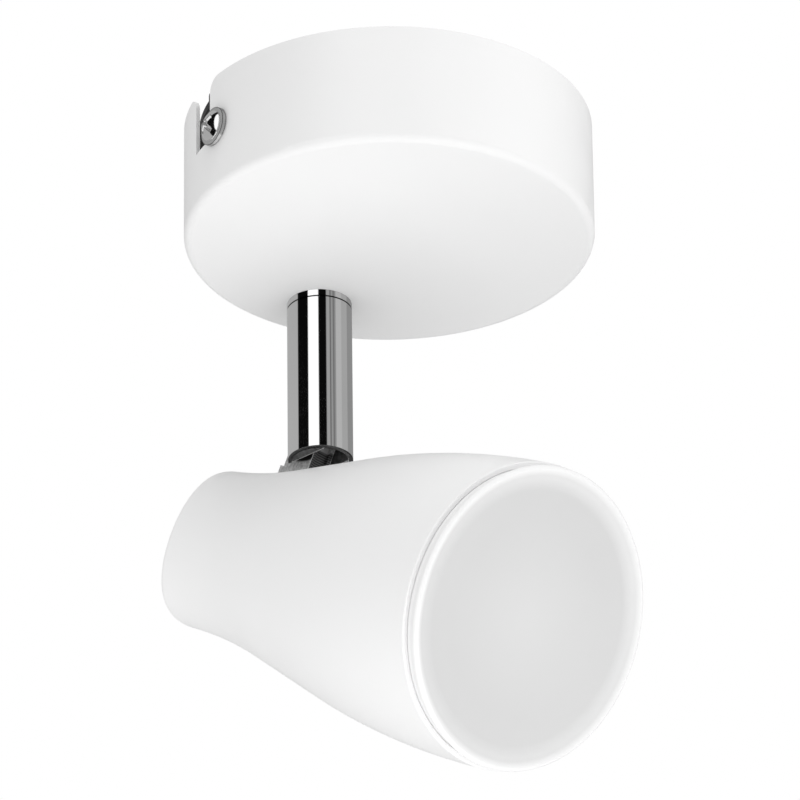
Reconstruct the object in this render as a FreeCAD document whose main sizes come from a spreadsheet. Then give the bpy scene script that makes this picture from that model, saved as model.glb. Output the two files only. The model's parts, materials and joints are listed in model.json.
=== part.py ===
import FreeCAD, Part
import Sketcher
import math
import os

# Surface mounted ceiling spotlight, millimetres, +Z up.
# Origin: centre of the face that meets the ceiling. The light hangs below z = 0.
#
# The bracket and its screws are drawn in this frame. The cup is pushed up over the two
# side screws and turned until they lie in the ends of its slots: the cup and all that it
# carries is drawn with the middle of the slots on X, and is placed turned by that lock
# angle. Stem pieces are drawn about their own vertical axis, local X towards the lens.
# Head pieces are drawn about the tilt pivot: local X runs along the head's axis towards
# the lens, local Y is the pivot's axis.

DIMENSIONS = [
    # canopy cup
    ("canopy_radius", 40.0),
    ("canopy_height", 25.0),
    ("canopy_wall", 0.8),
    ("canopy_edge_round", 1.6),
    ("entry_width", 6.3),
    ("entry_corner_round", 3.0),
    ("lock_travel", 5.3),
    ("lock_slot_height", 3.5),
    ("side_screw_drop", 11.5),
    # ceiling bracket: a round plate with two ears bent down from it
    ("plate_wall_gap", 2.1),
    ("cable_hole_radius", 6.0),
    ("cable_hole_gap", 1.2),
    ("ear_width", 9.0),
    ("bracket_thickness", 1.5),
    ("bracket_bend_radius", 0.5),
    ("bracket_wall_gap", 0.5),
    ("ear_length", 16.0),
    ("ceiling_slot_spacing", 56.0),
    ("ceiling_slot_width", 5.0),
    ("ceiling_slot_length", 10.0),
    # side screws and their washers
    ("side_screw_radius", 1.5),
    ("side_screw_length", 8.0),
    ("side_head_radius", 3.05),
    ("side_head_height", 1.7),
    ("side_head_rim", 0.3),
    ("side_recess_reach", 1.9),
    ("side_recess_depth", 1.1),
    ("side_slot_width", 0.8),
    ("side_slot_depth", 0.7),
    ("side_washer_radius", 3.85),
    ("side_washer_thickness", 0.8),
    # terminal block
    ("terminal_pitch", 8.0),
    ("terminal_depth", 16.0),
    ("terminal_height", 12.0),
    ("insert_radius", 2.4),
    ("insert_bore_radius", 1.4),
    ("insert_cover", 2.0),
    ("insert_inset", 0.5),
    ("clamp_screw_radius", 1.25),
    ("clamp_screw_spacing", 8.0),
    ("clamp_head_radius", 1.8),
    ("clamp_head_height", 1.6),
    ("clamp_head_sink", 1.0),
    ("clamp_slot_width", 0.5),
    ("clamp_slot_depth", 0.7),
    ("block_screw_radius", 1.0),
    # protective earth point
    ("earth_gap", 1.1),
    ("earth_screw_radius", 2.0),
    ("earth_washer_radius", 3.9),
    ("earth_washer_thickness", 0.8),
    # driver
    ("driver_length", 40.0),
    ("driver_width", 20.0),
    ("driver_height", 15.0),
    ("driver_gap", 1.5),
    ("driver_corner_radius", 2.0),
    ("driver_pad_thickness", 0.8),
    # stem
    ("stem_inset", 12.0),
    ("stem_radius", 6.4),
    ("stem_wall", 0.8),
    ("stem_end_drop", 35.0),
    ("collar_height", 1.25),
    ("groove_height", 0.3),
    ("groove_depth", 0.5),
    ("nipple_radius", 4.0),
    ("nipple_bore_radius", 2.6),
    ("nipple_stand", 1.5),
    ("bush_length", 9.0),
    ("nut_across_flats", 13.0),
    ("nut_height", 4.0),
    ("pan_washer_radius", 8.0),
    ("pan_washer_thickness", 1.0),
    ("spring_washer_radius", 6.8),
    ("spring_washer_thickness", 1.2),
    # swivel joint
    ("pivot_height", 7.2),
    ("fork_slot_width", 7.0),
    ("fork_slot_margin", 0.5),
    ("fork_solid_length", 5.0),
    ("fork_lead_radius", 2.0),
    ("tongue_eye_radius", 3.5),
    ("tongue_thickness", 5.0),
    ("tongue_foot_height", 1.2),
    ("tongue_foot_step", 1.0),
    ("tongue_channel_width", 3.2),
    ("tongue_channel_depth", 0.6),
    ("pivot_radius", 1.5),
    ("pivot_head_radius", 2.2),
    ("pivot_head_height", 0.75),
    ("friction_washer_radius", 3.4),
    ("stud_radius", 2.5),
    ("stud_stand", 1.0),
    ("stud_nut_across_flats", 8.0),
    ("stud_nut_height", 3.2),
    ("stud_washer_radius", 5.0),
    ("stud_washer_thickness", 1.0),
    # head
    ("head_axis_drop", 28.05),
    ("head_front", 72.35),
    ("front_radius", 29.5),
    ("lip_round", 0.35),
    ("front_arc_radius", 187.0),
    ("rear_arc_radius", 118.0),
    ("flare_angle", 13.5),
    ("flare_length", 22.5),
    ("rear_middle", 12.9),
    ("rear_dish_radius", 27.5),
    ("rear_dish_rise", 2.05),
    ("rear_edge_round", 1.1),
    ("housing_wall", 2.4),
    ("rear_wall", 2.8),
    ("rear_bore_radius", 13.4),
    ("rear_bore_end", 12.0),
    ("stud_seat_depth", 0.6),
    ("board_bore_radius", 26.2),
    ("board_seat", 46.0),
    ("lens_bore_radius", 28.5),
    ("lens_bore_depth", 6.0),
    # lens
    ("lens_proud", 3.1),
    ("lens_rim_radius", 29.2),
    ("lens_edge_round", 0.8),
    ("lens_crease_radius", 25.8),
    ("lens_crease_depth", 1.1),
    ("lens_dish_depth", 0.5),
    ("lens_thickness", 2.0),
    ("lens_skirt_wall", 1.4),
    # light engine
    ("sink_plate_thickness", 3.0),
    ("sink_length", 24.0),
    ("sink_rear_radius", 18.5),
    ("sink_front_radius", 24.0),
    ("sink_fin_pitch", 5.0),
    ("sink_fin_thickness", 1.8),
    ("board_radius", 22.0),
    ("board_thickness", 1.6),
    ("board_screw_place", 17.0),
    ("board_screw_radius", 1.5),
    ("board_screw_head_radius", 2.7),
    ("chip_length", 3.5),
    ("chip_width", 2.8),
    ("chip_height", 0.8),
    ("chip_ring_radius", 10.0),
    ("reflector_wall", 0.9),
    ("reflector_throat_radius", 21.0),
    ("reflector_mouth_gap", 0.3),
    # how the light is set in the photo
    ("rest_pan", -71.6),
    ("rest_pitch", 28.15),
    # clearances
    ("fit_gap", 0.05),
    ("pan_gap", 0.1),
    ("seat_gap", 0.05),
]

doc = FreeCAD.newDocument("spotlight")


class Size:
    """A length that knows its value now and the sheet formula that gives it."""

    def __init__(self, value, text):
        self.value = value
        self.text = text

    def __add__(self, other):
        other = as_size(other)
        return Size(self.value + other.value, f"({self.text} + {other.text})")

    def __sub__(self, other):
        other = as_size(other)
        return Size(self.value - other.value, f"({self.text} - {other.text})")

    def __mul__(self, other):
        other = as_size(other)
        return Size(self.value * other.value, f"({self.text} * {other.text})")

    def __truediv__(self, other):
        other = as_size(other)
        return Size(self.value / other.value, f"({self.text} / {other.text})")

    def __neg__(self):
        return Size(-self.value, f"(0 - {self.text})")

    def __radd__(self, other):
        return as_size(other) + self

    def __rsub__(self, other):
        return as_size(other) - self

    def __rmul__(self, other):
        return as_size(other) * self


def as_size(number):
    if isinstance(number, Size):
        return number
    return Size(float(number), f"{number}")


def sin_of(angle):
    return Size(math.sin(math.radians(angle.value)), f"sin({angle.text} * 1 deg)")


def cos_of(angle):
    return Size(math.cos(math.radians(angle.value)), f"cos({angle.text} * 1 deg)")


def root_of(square):
    return Size(math.sqrt(square.value), f"sqrt({square.text})")


class Sizes:
    """The driving dimensions, one attribute for each row of the sheet."""


def make_sheet():
    sheet = doc.addObject("Spreadsheet::Sheet", "Dims")
    sizes = Sizes()
    for row, (alias, value) in enumerate(DIMENSIONS, start=1):
        sheet.set(f"A{row}", alias)
        sheet.set(f"B{row}", str(value))
        sheet.setAlias(f"B{row}", alias)
        setattr(sizes, alias, Size(value, f"Dims.{alias}"))
    doc.recompute()
    return sizes


D = make_sheet()

# ---------------------------------------------------------------- helpers


def new_body(label):
    body = doc.addObject("PartDesign::Body", label)
    body.Label = label
    return body


def sketch_on(body, role, name, out=0, up=0):
    """A sketch on one of the body's own origin planes, moved out of it and up in it."""
    sketch = body.newObject("Sketcher::SketchObject", name)
    plane = [item for item in body.Origin.OriginFeatures if item.Role == role][0]
    sketch.AttachmentSupport = (plane, "")
    sketch.MapMode = "FlatFace"
    out = as_size(out)
    up = as_size(up)
    sketch.AttachmentOffset = FreeCAD.Placement(
        FreeCAD.Vector(0, up.value, out.value), FreeCAD.Rotation())
    sketch.setExpression("AttachmentOffset.Base.z", out.text)
    sketch.setExpression("AttachmentOffset.Base.y", up.text)
    return sketch


def fix_point(sketch, edge, end, point):
    """Hold one end of an edge at point, both coordinates driven by the sheet."""
    for kind, size in (("DistanceX", as_size(point[0])), ("DistanceY", as_size(point[1]))):
        index = sketch.addConstraint(Sketcher.Constraint(kind, -1, 1, edge, end, size.value))
        sketch.setExpression(f"Constraints[{index}]", size.text)


def fix_radius(sketch, edge, size):
    index = sketch.addConstraint(Sketcher.Constraint("Radius", edge, size.value))
    sketch.setExpression(f"Constraints[{index}]", size.text)


def arc_between(start, end, radius, bulge):
    """Arc from start to end; bulge +1 bends left of the way from start to end, -1 right."""
    first = FreeCAD.Vector(start[0], start[1], 0)
    last = FreeCAD.Vector(end[0], end[1], 0)
    chord = last - first
    half = chord.Length / 2
    side = FreeCAD.Vector(-chord.y, chord.x, 0).normalize() * bulge
    if radius is None:
        rise = half
    else:
        rise = radius.value - math.sqrt(radius.value ** 2 - half ** 2)
    middle = (first + last) * 0.5 + side * rise
    return Part.Arc(first, middle, last)


def outline(sketch, points, arcs=None):
    """Closed outline through points; arcs maps an edge's number to (radius, bulge).

    A radius of None makes a half circle.
    """
    arcs = arcs or {}
    count = len(points)
    plain = [(as_size(x).value, as_size(y).value) for x, y in points]
    for number in range(count):
        start = plain[number]
        end = plain[(number + 1) % count]
        if number in arcs:
            radius, bulge = arcs[number]
            edge = sketch.addGeometry(arc_between(start, end, radius, bulge))
        else:
            edge = sketch.addGeometry(Part.LineSegment(
                FreeCAD.Vector(start[0], start[1], 0), FreeCAD.Vector(end[0], end[1], 0)))
        hold_edge(sketch, edge, points, number, arcs)
    return sketch


def fix_half_circle(sketch, edge, start, end):
    """Hold a half circle's centre on the line through its ends."""
    upright = abs(as_size(start[0]).value - as_size(end[0]).value) < 1e-9
    kind = "DistanceX" if upright else "DistanceY"
    size = as_size(start[0] if upright else start[1])
    index = sketch.addConstraint(Sketcher.Constraint(kind, -1, 1, edge, 3, size.value))
    sketch.setExpression(f"Constraints[{index}]", size.text)


def hold_edge(sketch, edge, points, number, arcs):
    start = points[number]
    end = points[(number + 1) % len(points)]
    ends = (1, 2)
    if number in arcs:
        radius, bulge = arcs[number]
        # an arc always runs anticlockwise, so a left bulge swaps its two ends
        ends = (2, 1) if bulge > 0 else (1, 2)
        if radius is None:
            fix_half_circle(sketch, edge, start, end)
        else:
            fix_radius(sketch, edge, radius)
    fix_point(sketch, edge, ends[0], start)
    fix_point(sketch, edge, ends[1], end)


def circle(sketch, radius, x=0, y=0):
    x = as_size(x)
    y = as_size(y)
    edge = sketch.addGeometry(Part.Circle(
        FreeCAD.Vector(x.value, y.value, 0), FreeCAD.Vector(0, 0, 1), radius.value))
    fix_point(sketch, edge, 3, (x, y))
    fix_radius(sketch, edge, radius)
    return sketch


def rectangle(sketch, x_low, x_high, y_low, y_high):
    return outline(sketch, [(x_low, y_low), (x_high, y_low), (x_high, y_high), (x_low, y_high)])


def solid_volume(body):
    doc.recompute()
    return body.Shape.Volume


def pad(body, sketch, length, symmetric=False, reverse=False):
    feature = body.newObject("PartDesign::Pad", f"{sketch.Name}_pad")
    feature.Profile = sketch
    feature.Length = length.value
    feature.setExpression("Length", length.text)
    feature.SideType = "Symmetric" if symmetric else "One side"
    feature.Reversed = reverse
    return feature


def pocket(body, sketch, length=None, symmetric=False, reverse=False):
    """Cut the sketch out of the body: through everything, or to a depth."""
    before = solid_volume(body)
    feature = body.newObject("PartDesign::Pocket", f"{sketch.Name}_cut")
    feature.Profile = sketch
    feature.SideType = "Symmetric" if symmetric else "One side"
    feature.Reversed = reverse
    if length is None:
        feature.Type = "ThroughAll"
    else:
        feature.Length = length.value
        feature.setExpression("Length", length.text)
    if solid_volume(body) >= before:
        raise RuntimeError(f"{feature.Name} cuts nothing")
    return feature


def revolve(body, sketch, axis="V_Axis"):
    feature = body.newObject("PartDesign::Revolution", f"{sketch.Name}_turn")
    feature.Profile = sketch
    feature.ReferenceAxis = (sketch, [axis])
    feature.Angle = 360
    return feature


def groove(body, sketch, axis="V_Axis"):
    before = solid_volume(body)
    feature = body.newObject("PartDesign::Groove", f"{sketch.Name}_turned_cut")
    feature.Profile = sketch
    feature.ReferenceAxis = (sketch, [axis])
    feature.Angle = 360
    if solid_volume(body) >= before:
        raise RuntimeError(f"{feature.Name} cuts nothing")
    return feature


def ring_body(label, outer, inner, low, high):
    """A plain ring about the local Z axis."""
    body = new_body(label)
    sketch = sketch_on(body, "XZ_Plane", f"{label}_section")
    rectangle(sketch, inner, outer, low, high)
    revolve(body, sketch)
    return body


def solid_feature(label, shape):
    """A small piece or a set of fasteners, shaped in code from the same sizes."""
    feature = doc.addObject("Part::Feature", label)
    feature.Label = label
    feature.Shape = shape
    return feature


def cylinder(radius, low, high, x=0.0, y=0.0):
    return Part.makeCylinder(radius, high - low, FreeCAD.Vector(x, y, low))


def box(x_low, x_high, y_low, y_high, z_low, z_high):
    return Part.makeBox(x_high - x_low, y_high - y_low, z_high - z_low,
                        FreeCAD.Vector(x_low, y_low, z_low))


def turned(shape, axis, degrees):
    copy = shape.copy()
    copy.rotate(FreeCAD.Vector(0, 0, 0), axis, degrees)
    return copy


X_AXIS = FreeCAD.Vector(1, 0, 0)
Y_AXIS = FreeCAD.Vector(0, 1, 0)
Z_AXIS = FreeCAD.Vector(0, 0, 1)


def cross_recess(size, depth):
    """Cutter for a cross recess, its mouth at z = 0."""
    bar = box(-size, size, -size / 4, size / 4, -depth, 1.0)
    return bar.fuse(turned(bar, Z_AXIS, 90))


def slot_recess(reach, width, depth):
    return box(-reach, reach, -width / 2, width / 2, -depth, 1.0)


def domed_head(radius, height, rim):
    """Round head standing on z = 0: a low rim under a ball-shaped cap."""
    cap = height - rim
    ball_radius = (radius * radius + cap * cap) / (2 * cap)
    ball = Part.makeSphere(ball_radius, FreeCAD.Vector(0, 0, height - ball_radius))
    return cylinder(radius, 0.0, height).common(ball)


def pan_head(radius, height):
    """Pan head standing on z = 0, with a domed edge."""
    head = cylinder(radius, 0.0, height)
    rim = [edge for edge in head.Edges
           if abs(edge.CenterOfMass.z - height) < 1e-6 and edge.Closed]
    return head.makeFillet(height * 0.5, rim[:1])


def washer(outer, inner, low, high):
    return cylinder(outer, low, high).cut(cylinder(inner, low - 1, high + 1))


# ---------------------------------------------------------------- shared places

canopy_inner_radius = D.canopy_radius - D.canopy_wall
floor_level = D.canopy_wall - D.canopy_height
ear_face = canopy_inner_radius - D.bracket_wall_gap
stem_offset = D.canopy_radius - D.stem_inset
block_end = D.terminal_pitch * 1.5
earth_place = block_end + D.earth_gap + D.earth_washer_radius
lock_angle = math.degrees(math.asin(D.lock_travel.value / 2 / D.canopy_radius.value))

stem_end = -(D.canopy_height + D.stem_end_drop)
pivot_level = stem_end + D.pivot_height
collar_top = -(D.canopy_height + D.seat_gap)
tube_top = collar_top - D.collar_height - D.groove_height
tube_bore = D.stem_radius - D.stem_wall
slot_top = pivot_level + D.tongue_eye_radius + D.fork_slot_margin

pan_washer_top = floor_level + D.seat_gap + D.pan_washer_thickness
spring_washer_low = pan_washer_top + D.seat_gap
nut_low = spring_washer_low + D.spring_washer_thickness
bush_low = tube_top - D.bush_length

# head outline, measured along and out from the head's own axis
flare_sine = sin_of(D.flare_angle)
flare_cosine = cos_of(D.flare_angle)
flare_front = D.head_front - D.front_arc_radius * flare_sine
flare_front_radius = D.front_radius - D.front_arc_radius * (1 - flare_cosine)
flare_rear = flare_front - D.flare_length * flare_cosine
flare_rear_radius = flare_front_radius - D.flare_length * flare_sine
tail = flare_rear - D.rear_arc_radius * flare_sine
tail_radius = flare_rear_radius - D.rear_arc_radius * (1 - flare_cosine)
dish_centre = -(D.rear_middle + D.rear_dish_radius)
axis_level = -D.head_axis_drop
rear_limit = tail - D.rear_middle


def outer_front_arc(place, wall=0):
    """Radius of the front arc, or of a wall's depth inside it, at a place on the axis."""
    arc = D.front_arc_radius - wall
    reach = D.head_front - place
    return D.front_radius - D.front_arc_radius + root_of(arc * arc - reach * reach)


def outer_rear_arc(place):
    """Outer radius at a place on the rear arc."""
    reach = place - tail
    arc = D.rear_arc_radius
    return tail_radius + arc - root_of(arc * arc - reach * reach)


def cup_placement():
    return FreeCAD.Placement(FreeCAD.Vector(0, 0, 0), FreeCAD.Rotation(Z_AXIS, -lock_angle))


def stem_placement():
    place = FreeCAD.Vector(0, stem_offset.value, 0)
    pan = FreeCAD.Rotation(Z_AXIS, D.rest_pan.value)
    return cup_placement().multiply(FreeCAD.Placement(place, pan))


def head_placement():
    pitch = FreeCAD.Rotation(Y_AXIS, D.rest_pitch.value)
    place = FreeCAD.Vector(0, 0, pivot_level.value)
    return stem_placement().multiply(FreeCAD.Placement(place, pitch))


# ---------------------------------------------------------------- canopy


def make_canopy_cup():
    body = new_body("canopy_cup")
    sketch = sketch_on(body, "XZ_Plane", "cup_section")
    round_start = D.canopy_radius - D.canopy_edge_round
    round_level = D.canopy_edge_round - D.canopy_height
    outline(sketch, [
        (0, -D.canopy_height),
        (round_start, -D.canopy_height),
        (D.canopy_radius, round_level),
        (D.canopy_radius, 0),
        (canopy_inner_radius, 0),
        (canopy_inner_radius, round_level),
        (round_start, floor_level),
        (0, floor_level),
    ], {1: (D.canopy_edge_round, -1), 5: (D.canopy_edge_round - D.canopy_wall, 1)})
    revolve(body, sketch)

    cut_lock_slot(body, "cup_slot_left", 1)
    cut_lock_slot(body, "cup_slot_right", -1)

    hole = sketch_on(body, "XY_Plane", "cup_stem_hole")
    circle(hole, D.nipple_radius + D.pan_gap, 0, stem_offset)
    pocket(body, hole)
    return body


def cut_lock_slot(body, name, side):
    """One slot: a wide way in from the rim, then a run along the wall to the screw's seat."""
    entry = D.lock_travel / 2 * side
    seat = -entry
    half_entry = D.entry_width / 2
    near = entry - half_entry * side
    far = entry + half_entry * side
    half = D.lock_slot_height / 2
    low = -D.side_screw_drop - half
    high = -D.side_screw_drop + half
    corner = D.entry_corner_round * side
    depth = -D.entry_corner_round
    above = as_size(1)
    sketch = sketch_on(body, "YZ_Plane", name)
    outline(sketch, [
        (far, low), (seat, low), (seat, high), (near, high), (near, depth), (near - corner, 0),
        (near - corner, above), (far + corner, above), (far + corner, 0), (far, depth),
    ], {1: (None, side), 4: (D.entry_corner_round, -side), 8: (D.entry_corner_round, -side)})
    pocket(body, sketch, reverse=side < 0)


def make_mounting_bracket():
    body = new_body("mounting_bracket")
    thick = D.bracket_thickness
    bend = D.bracket_bend_radius + thick
    inside = ear_face - thick
    flat = ear_face - bend
    sketch = sketch_on(body, "XZ_Plane", "bracket_section")
    outline(sketch, [
        (-flat, 0), (flat, 0),
        (ear_face, -bend), (ear_face, -D.ear_length),
        (inside, -D.ear_length), (inside, -bend),
        (flat, -thick), (-flat, -thick),
        (-inside, -bend), (-inside, -D.ear_length),
        (-ear_face, -D.ear_length), (-ear_face, -bend),
    ], {1: (bend, 1), 5: (D.bracket_bend_radius, -1),
        7: (D.bracket_bend_radius, -1), 11: (bend, 1)})
    pad(body, sketch, D.ear_width, symmetric=True)

    plate = sketch_on(body, "XY_Plane", "bracket_plate", out=-thick)
    circle(plate, canopy_inner_radius - D.plate_wall_gap)
    pad(body, plate, thick)

    slots = sketch_on(body, "XY_Plane", "bracket_slots")
    end = D.ceiling_slot_width / 2
    reach = D.ceiling_slot_length / 2 - end
    for side in (-1, 1):
        centre = D.ceiling_slot_spacing / 2 * side
        outline(slots, [
            (centre - reach, -end), (centre + reach, -end),
            (centre + reach, end), (centre - reach, end),
        ], {1: (None, -1), 3: (None, -1)})
    pocket(body, slots)

    holes = sketch_on(body, "XY_Plane", "bracket_thread_holes")
    circle(holes, D.earth_screw_radius + D.fit_gap, earth_place, 0)
    for side in (-1, 1):
        circle(holes, D.block_screw_radius + D.fit_gap, D.terminal_pitch / 2 * side, 0)
    cable_place = D.terminal_depth / 2 + D.cable_hole_gap + D.cable_hole_radius
    circle(holes, D.cable_hole_radius, 0, cable_place)
    pocket(body, holes)

    ears = sketch_on(body, "YZ_Plane", "bracket_ear_holes")
    circle(ears, D.side_screw_radius + D.fit_gap, 0, -D.side_screw_drop)
    pocket(body, ears, symmetric=True)
    return body


side_seat = D.canopy_radius + D.seat_gap


def on_both_sides(shape, seat):
    """Put a piece drawn along +Z outside both slots, its own zero on the seat."""
    copies = []
    for angle in (0, 180):
        copy = turned(shape, Y_AXIS, 90)
        copy.translate(FreeCAD.Vector(seat, 0, -D.side_screw_drop.value))
        copies.append(turned(copy, Z_AXIS, angle))
    return Part.makeCompound(copies)


def make_side_screws():
    radius = D.side_head_radius.value
    head = domed_head(radius, D.side_head_height.value, D.side_head_rim.value)
    recess = cross_recess(D.side_recess_reach.value, D.side_recess_depth.value)
    slot = slot_recess(radius * 2, D.side_slot_width.value, D.side_slot_depth.value)
    tools = turned(recess.fuse(slot), Z_AXIS, 35)
    tools.translate(FreeCAD.Vector(0, 0, D.side_head_height.value))
    shank = cylinder(D.side_screw_radius.value, -D.side_screw_length.value, 0.1)
    screw = head.cut(tools).fuse(shank).removeSplitter()
    seat = side_seat + D.side_washer_thickness
    return solid_feature("canopy_side_screws", on_both_sides(screw, seat.value))


def make_side_washers():
    ring = washer(D.side_washer_radius.value, D.side_screw_radius.value + D.pan_gap.value,
                  0.0, D.side_washer_thickness.value)
    return solid_feature("side_screw_washers", on_both_sides(ring, side_seat.value))


# ---------------------------------------------------------------- terminal and earth

block_top = -D.bracket_thickness
block_low = block_top - D.terminal_height
insert_level = block_top - D.insert_radius - D.insert_cover
well_radius = D.clamp_head_radius + D.seat_gap * 3
pole_places = [D.terminal_pitch * number for number in (-1, 0, 1)]


def make_terminal_block():
    body = new_body("terminal_block")
    outer = sketch_on(body, "XY_Plane", "block_plan", out=block_low)
    rectangle(outer, -block_end, block_end, -D.terminal_depth / 2, D.terminal_depth / 2)
    pad(body, outer, D.terminal_height)

    bores = sketch_on(body, "XZ_Plane", "block_bores")
    for place in pole_places:
        circle(bores, D.insert_radius + D.fit_gap, place, insert_level)
    pocket(body, bores, symmetric=True)

    wells = sketch_on(body, "XY_Plane", "block_wells", out=insert_level)
    for place in pole_places:
        for side in (-1, 1):
            circle(wells, well_radius, place, D.clamp_screw_spacing / 2 * side)
    pocket(body, wells)

    holes = sketch_on(body, "XY_Plane", "block_fixing_holes")
    for side in (-1, 1):
        circle(holes, D.block_screw_radius + D.fit_gap, D.terminal_pitch / 2 * side, 0)
    pocket(body, holes)
    return body


def make_terminal_inserts():
    level = insert_level.value
    reach = D.terminal_depth.value / 2 - D.insert_inset.value
    tubes = []
    for place in pole_places:
        tube = washer(D.insert_radius.value, D.insert_bore_radius.value, -reach, reach)
        tube = turned(tube, X_AXIS, 90)
        tube.translate(FreeCAD.Vector(place.value, 0, level))
        for side in (-1, 1):
            y = D.clamp_screw_spacing.value / 2 * side
            tube = tube.cut(cylinder(D.clamp_screw_radius.value + D.fit_gap.value,
                                     level - D.insert_radius.value - 1, level, place.value, y))
        tubes.append(tube)
    return solid_feature("terminal_inserts", Part.makeCompound(tubes))


def make_terminal_screws():
    tip = insert_level.value - D.insert_bore_radius.value * 0.6
    low = block_low.value + D.clamp_head_sink.value
    high = low + D.clamp_head_height.value
    radius = D.clamp_head_radius.value
    half_slot = D.clamp_slot_width.value / 2
    slot_end = low + D.clamp_slot_depth.value
    screws = []
    for place in pole_places:
        for side in (-1, 1):
            y = D.clamp_screw_spacing.value / 2 * side
            shank = cylinder(D.clamp_screw_radius.value, slot_end, tip, place.value, y)
            head = cylinder(radius, low, high, place.value, y)
            slot = box(place.value - radius * 2, place.value + radius * 2,
                       y - half_slot, y + half_slot, low - radius, slot_end)
            screws.append(head.cut(slot).fuse(shank).removeSplitter())
    return solid_feature("terminal_screws", Part.makeCompound(screws))


def screw_from_below(radius, head_radius, head_height, seat, top, x):
    """Pan-head screw whose head hangs under the seat and whose shank ends at the top."""
    head = turned(pan_head(head_radius, head_height), X_AXIS, 180)
    recess = turned(cross_recess(head_radius * 0.6, head_height * 0.7), X_AXIS, 180)
    recess.translate(FreeCAD.Vector(0, 0, -head_height))
    screw = head.cut(recess).fuse(cylinder(radius, -0.1, top - seat)).removeSplitter()
    screw.translate(FreeCAD.Vector(x, 0, seat))
    return screw


def make_block_screws():
    radius = D.block_screw_radius.value
    screws = [screw_from_below(radius, radius * 1.9, radius * 1.2, block_low.value, -0.2,
                               D.terminal_pitch.value / 2 * side) for side in (-1, 1)]
    return solid_feature("terminal_fixing_screws", Part.makeCompound(screws))


earth_seat = -D.bracket_thickness - D.earth_washer_thickness


def make_earth_screw():
    radius = D.earth_screw_radius.value
    screw = screw_from_below(radius, radius * 1.7, radius * 0.9, earth_seat.value, -0.2,
                             earth_place.value)
    return solid_feature("earth_screw", screw)


def make_earth_washer():
    ring = washer(D.earth_washer_radius.value, D.earth_screw_radius.value + D.pan_gap.value,
                  earth_seat.value, -D.bracket_thickness.value)
    ring.translate(FreeCAD.Vector(earth_place.value, 0, 0))
    return solid_feature("earth_washer", ring)


# ---------------------------------------------------------------- driver

pad_top = floor_level + D.driver_pad_thickness
driver_place = D.terminal_depth / 2 + D.driver_gap + D.driver_width / 2


def upright_edges(shape):
    names = []
    for number, edge in enumerate(shape.Edges, start=1):
        first, last = edge.Vertexes[0].Point, edge.Vertexes[-1].Point
        if abs(first.x - last.x) < 1e-6 and abs(first.y - last.y) < 1e-6:
            names.append(f"Edge{number}")
    return names


def round_edges(body, feature, names, radius):
    fillet = body.newObject("PartDesign::Fillet", f"{feature.Name}_round")
    fillet.Base = (feature, names)
    fillet.Radius = radius.value
    fillet.setExpression("Radius", radius.text)
    doc.recompute()
    return fillet


def make_driver_case():
    body = new_body("led_driver_case")
    sketch = sketch_on(body, "XY_Plane", "driver_plan", out=pad_top)
    rectangle(sketch, -D.driver_length / 2, D.driver_length / 2,
              -driver_place - D.driver_width / 2, -driver_place + D.driver_width / 2)
    block = pad(body, sketch, D.driver_height)
    doc.recompute()
    round_edges(body, block, upright_edges(block.Shape), D.driver_corner_radius)
    return body


def make_driver_pad():
    margin = D.driver_corner_radius.value
    length = D.driver_length.value / 2 - margin
    width = D.driver_width.value / 2 - margin
    centre = -driver_place.value
    return solid_feature("driver_pad", box(-length, length, centre - width, centre + width,
                                           floor_level.value, pad_top.value))


# ---------------------------------------------------------------- stem

nut_top = nut_low + D.nut_height
nipple_top = nut_top + D.nipple_stand
nipple_clear = D.nipple_radius + D.fit_gap


def hexagon(sketch, across_flats):
    corner = across_flats / math.sqrt(3)
    points = [(corner * math.cos(math.radians(60 * number)),
               corner * math.sin(math.radians(60 * number))) for number in range(6)]
    return outline(sketch, points)


def nut_body(label, across_flats, bore, low, height):
    body = new_body(label)
    sketch = sketch_on(body, "XY_Plane", f"{label}_plan", out=low)
    hexagon(sketch, across_flats)
    circle(sketch, bore)
    pad(body, sketch, height)
    return body


def make_stem_collar():
    body = new_body("stem_collar")
    sketch = sketch_on(body, "XZ_Plane", "collar_section")
    neck = D.stem_radius - D.groove_depth
    neck_top = collar_top - D.collar_height
    outline(sketch, [
        (nipple_clear, tube_top), (neck, tube_top), (neck, neck_top),
        (D.stem_radius, neck_top), (D.stem_radius, collar_top), (nipple_clear, collar_top),
    ])
    revolve(body, sketch)
    return body


def make_stem_tube():
    body = new_body("stem_tube")
    sketch = sketch_on(body, "XZ_Plane", "tube_section")
    break_edge = D.stem_wall / 4
    outline(sketch, [
        (tube_bore, stem_end), (D.stem_radius - break_edge, stem_end),
        (D.stem_radius, stem_end + break_edge), (D.stem_radius, tube_top),
        (tube_bore, tube_top),
    ])
    revolve(body, sketch)
    slot = sketch_on(body, "YZ_Plane", "tube_slot")
    half = D.fork_slot_width / 2
    rectangle(slot, -half, half, stem_end - 1, slot_top)
    pocket(body, slot)
    return body


pivot_reach = tube_bore - D.fit_gap * 3
pivot_head_face = root_of(pivot_reach * pivot_reach - D.pivot_head_radius * D.pivot_head_radius)
pivot_shoulder = pivot_head_face - D.pivot_head_height
pivot_tail = root_of(pivot_reach * pivot_reach - D.pivot_radius * D.pivot_radius)


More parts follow.
